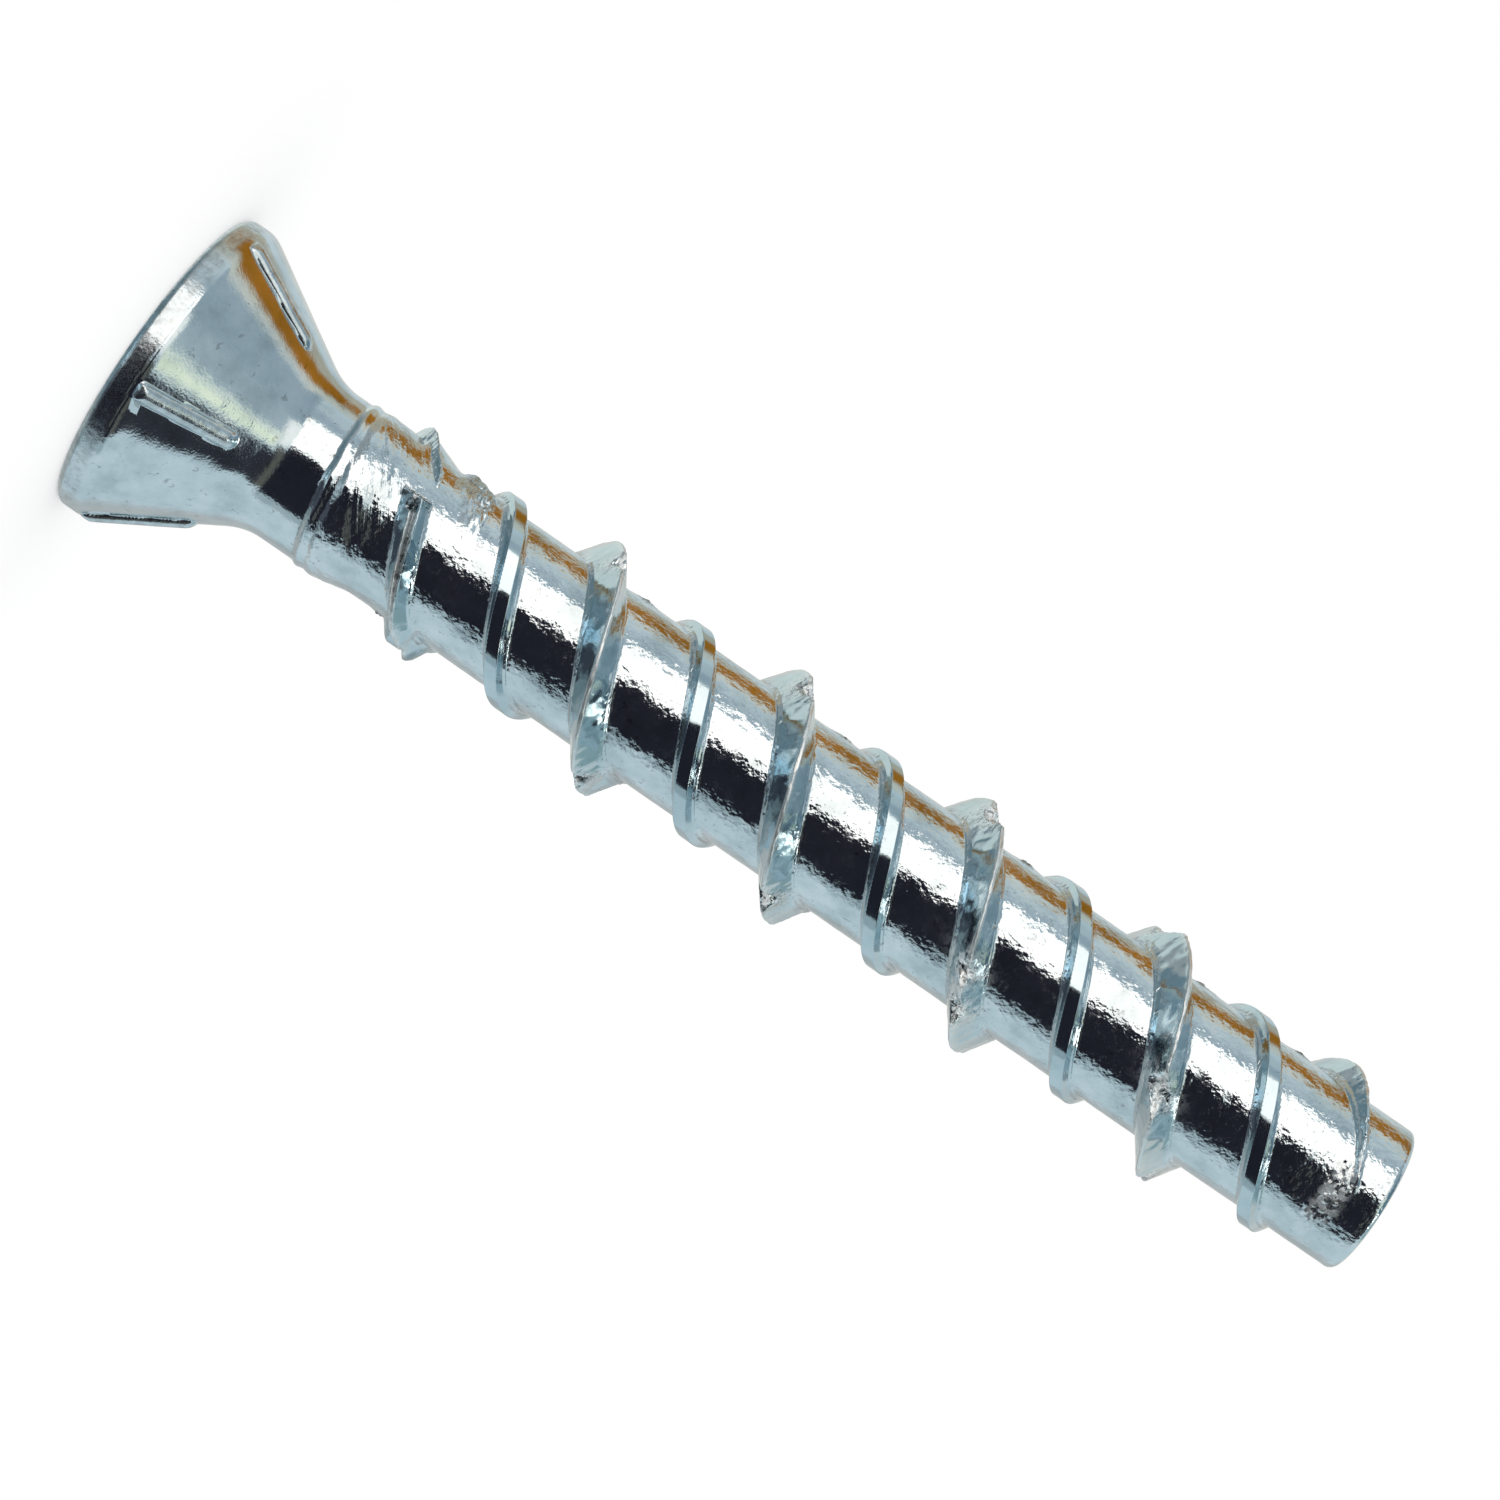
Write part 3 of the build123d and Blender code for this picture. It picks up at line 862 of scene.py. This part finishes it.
def relief(nodes, where, masks):
    """Bumps, each laid over the one before: waves, tearing, grain, and rolling marks with shredded pits."""
    long_waves = nodes.times(nodes.noise(where, 0.4, 1.0, 0.4), 3.0)
    waves = nodes.plus(long_waves, nodes.noise(where, 1.1, 2.0, 0.5))
    waves = nodes.times(waves, nodes.plus(nodes.times(masks["torn"], 0.95), 0.05))
    tears = nodes.times(nodes.noise(where, 3.2, 2.5, 0.5), masks["torn"])
    off_flanks = nodes.math("SUBTRACT", 1.0, nodes.times(masks["flank"], 0.7))
    grain = nodes.times(nodes.noise(where, 9.0, 1.0, 0.4), off_flanks)
    lines = nodes.times(nodes.noise(masks["rolled"], 1.0, 2.0, 0.6), masks["lined"])
    shredded = nodes.times(nodes.noise(where, 4.5, 2.0, 0.6), masks["pit"])
    lines = nodes.plus(lines, nodes.times(shredded, 4.0))
    normal = None
    heights = ((waves, WAVE_HEIGHT), (tears, TEAR_HEIGHT), (grain, GRAIN_HEIGHT), (lines, LINE_HEIGHT))
    for bumps, height in heights:
        normal = nodes.bump(bumps, height, normal)
    return normal


def zinc_plated_steel(mask_names):
    """The screw's one material. Its noise runs in millimetres of the screw's own space."""
    steel = bpy.data.materials.new("zinc_plated_steel")
    steel.use_nodes = True
    nodes = Nodes(steel.node_tree)
    shader = nodes.tree.nodes["Principled BSDF"]
    scaled = nodes.tree.nodes.new("ShaderNodeMapping")
    scaled.inputs["Scale"].default_value = (1 / MM, 1 / MM, 1 / MM)
    nodes.feed(nodes.tree.nodes.new("ShaderNodeTexCoord").outputs["Object"], scaled.inputs["Vector"])
    where = scaled.outputs["Vector"]
    masks = {}
    for name in (*mask_names, "rolled"):
        node = nodes.tree.nodes.new("ShaderNodeAttribute")
        node.attribute_name = name
        masks[name] = node.outputs["Vector" if name == "rolled" else "Fac"]
    blotch = nodes.noise(where, 0.55, 4.0, 0.6)
    nodes.feed(colour(nodes, where, masks, blotch), shader.inputs["Base Color"])
    nodes.feed(metallic(nodes, where, masks), shader.inputs["Metallic"])
    nodes.feed(roughness(nodes, where, masks, blotch), shader.inputs["Roughness"])
    nodes.feed(relief(nodes, where, masks), shader.inputs["Normal"])
    return steel


body.data.materials.append(zinc_plated_steel(kept))


# Pale floor, left out of the reflections in the metal
FLOOR_HALF = 6.0
FLOOR_DROP = 0.00002
FLOOR_GREY = 0.62
FLOOR_GLOW = 0.42


def pale_floor():
    """Matt pale paint with a glow that takes it up to the photo's white."""
    pale = bpy.data.materials.new("pale_floor")
    pale.use_nodes = True
    plain = pale.node_tree.nodes["Principled BSDF"]
    plain.inputs["Base Color"].default_value = (FLOOR_GREY, FLOOR_GREY, FLOOR_GREY, 1)
    plain.inputs["Roughness"].default_value = 1.0
    plain.inputs["Specular IOR Level"].default_value = 0.0
    plain.inputs["Emission Color"].default_value = (1, 1, 1, 1)
    plain.inputs["Emission Strength"].default_value = FLOOR_GLOW
    return pale


floor_mesh = bpy.data.meshes.new("floor")
floor_corners = [(x * FLOOR_HALF, y * FLOOR_HALF, 0) for x, y in ((-1, -1), (1, -1), (1, 1), (-1, 1))]
floor_mesh.from_pydata(floor_corners, [], [(0, 1, 2, 3)])
floor_mesh.materials.append(pale_floor())
floor = bpy.data.objects.new("floor", floor_mesh)
bpy.context.scene.collection.objects.link(floor)
floor.location.z = -FLOOR_DROP
floor.visible_glossy = False


# The room the metal mirrors: bearings run from the camera's side toward +X, heights from -90 to 90.
# Its walls go from one colour to the other between two bearings, and later cards lie over earlier ones.
WALLS = ((0.62, 0.72, 0.76), (0.70, 0.70, 0.66))
WALLS_CHANGE = (142, 172)

# Each card: colour, bearings, heights, softness across, softness in height, strength
CARDS = (
    ((0.52, 0.54, 0.54), (136, 168), (-30, 30), 12, 12, 1.0),
    ((0.56, 0.63, 0.66), (-84, -50), (-24, 22), 10, 10, 1.0),
    ((0.36, 0.44, 0.50), (-70, -59), (-20, 18), 5, 8, 0.7),
    ((0.36, 0.44, 0.49), (-96, -40), (18, 62), 14, 12, 1.0),
    ((0.42, 0.50, 0.54), (-48, -8), (32, 58), 10, 12, 1.0),
    ((1.10, 1.08, 1.02), (-42, -4), (20, 40), 10, 12, 0.9),
    ((0.70, 0.68, 0.60), (-104, -90), (-24, 36), 6, 10, 1.0),
    ((0.42, 0.44, 0.44), (-145, -118), (-80, -18), 14, 12, 1.0),
    ((0.78, 0.84, 0.80), (-195, -141), (-80, -18), 10, 12, 1.0),
    ((0.36, 0.39, 0.40), (-124, 4), (-42, -16), 12, 12, 1.0),
    ((0.18, 0.25, 0.28), (-124, 4), (-68, -40), 12, 8, 1.0),
    ((0.50, 0.42, 0.29), (-142, -100), (-30, 34), 8, 12, 0.8),
    ((0.40, 0.155, 0.016), (-124, -104), (-9, 40), 8, 8, 1.0),
    ((0.12, 0.12, 0.105), (0, 66), (14, 36), 8, 10, 1.0),
    ((1.70, 1.56, 1.46), (-56, -9), (-23, 21), 2, 6, 1.0),
    ((0.80, 0.85, 0.76), (-17, 8), (38, 56.5), 10, 2, 1.0),
    ((1.0, 1.04, 0.80), (-8, 4), (44, 56.5), 8, 2, 1.0),
    ((0.032, 0.033, 0.042), (11, 67), (30, 56), 8, 8, 1.0),
    ((0.075, 0.08, 0.10), (18, 74), (-68, -20), 10, 8, 1.0),
    ((0.28, 0.34, 0.35), (74, 108), (-68, -20), 14, 12, 1.0),
    ((0.45, 0.46, 0.45), (104, 158), (-66, -20), 16, 12, 0.9),
    ((0.19, 0.27, 0.31), (-190, 190), (-100, -67), 6, 5, 1.0),
    ((0.80, 1.15, 1.35), (-12, 24), (-69, -60), 12, 4, 1.0),
    ((0.019, 0.019, 0.027), (-9, 68), (-26, 20), 2, 6, 1.0),
    ((0.40, 0.48, 0.51), (68, 80), (-22, 22), 4, 10, 1.0),
    ((0.16, 0.25, 0.31), (-190, 14), (58, 100), 6, 3, 1.0),
    ((0.10, 0.15, 0.19), (-24, 16), (57, 64), 8, 2, 0.9),
    ((0.50, 0.66, 0.68), (46, 88), (59, 100), 12, 5, 1.0),
    ((0.32, 0.44, 0.46), (88, 190), (59, 100), 12, 5, 1.0),
    ((4.60, 4.40, 4.00), (14, 46), (63, 76), 7, 4, 1.0),
)

# Degrees in a radian
DEGREES = 180 / math.pi


def room():
    """World that is white to the eye and to rough surfaces, and the room to mirrors."""
    world = bpy.data.worlds.new("studio")
    world.use_nodes = True
    world.cycles.sampling_method = "NONE"
    nodes = Nodes(world.node_tree)
    split = nodes.tree.nodes.new("ShaderNodeSeparateXYZ")
    nodes.feed(nodes.tree.nodes.new("ShaderNodeTexCoord").outputs["Generated"], split.inputs[0])
    x, y, z = split.outputs
    bearing = nodes.times(nodes.math("ARCTAN2", x, nodes.times(y, -1.0)), DEGREES)
    height = nodes.times(nodes.math("ARCSINE", z), DEGREES)
    seen = nodes.mix(nodes.smooth(nodes.math("ABSOLUTE", bearing), *WALLS_CHANGE), *WALLS)
    for card, bearings, heights, soft, soft_height, strength in CARDS:
        across = nodes.span(bearing, *bearings, soft)
        inside = nodes.times(across, nodes.span(height, *heights, soft_height))
        seen = nodes.mix(nodes.times(inside, strength), seen, card)
    mirrored = nodes.tree.nodes.new("ShaderNodeLightPath").outputs["Is Glossy Ray"]
    background = nodes.tree.nodes["Background"]
    nodes.feed(nodes.mix(mirrored, (1.0, 1.0, 1.0), seen), background.inputs["Color"])
    return world


bpy.context.scene.world = room()


# Camera, fitted to the photo's outline: sensor and lens in mm, place and clip in metres, angles in radians
SENSOR = 36
LENS = 98.66
SHIFT = (-0.02014, 0.02814)
CAMERA_PLACE = (0, -0.19158, 0.03349)
YAW = 0.0095
ROLL = math.radians(34.68)
CLIP = (0.01, 20)

camera_data = bpy.data.cameras.new("camera")
camera_data.sensor_width = SENSOR
camera_data.lens = LENS
camera_data.clip_start, camera_data.clip_end = CLIP
camera_data.shift_x, camera_data.shift_y = SHIFT
camera = bpy.data.objects.new("camera", camera_data)
bpy.context.scene.collection.objects.link(camera)
along = Vector((0, -math.sin(YAW), math.cos(YAW)))
beside = Vector((1, 0, 0))
right = math.cos(ROLL) * along - math.sin(ROLL) * beside
upward = -math.sin(ROLL) * along - math.cos(ROLL) * beside
facing = Matrix((right, upward, right.cross(upward))).transposed().to_4x4()
camera.matrix_world = Matrix.Translation(CAMERA_PLACE) @ facing
bpy.context.scene.camera = camera
bpy.context.scene.view_settings.view_transform = "Standard"
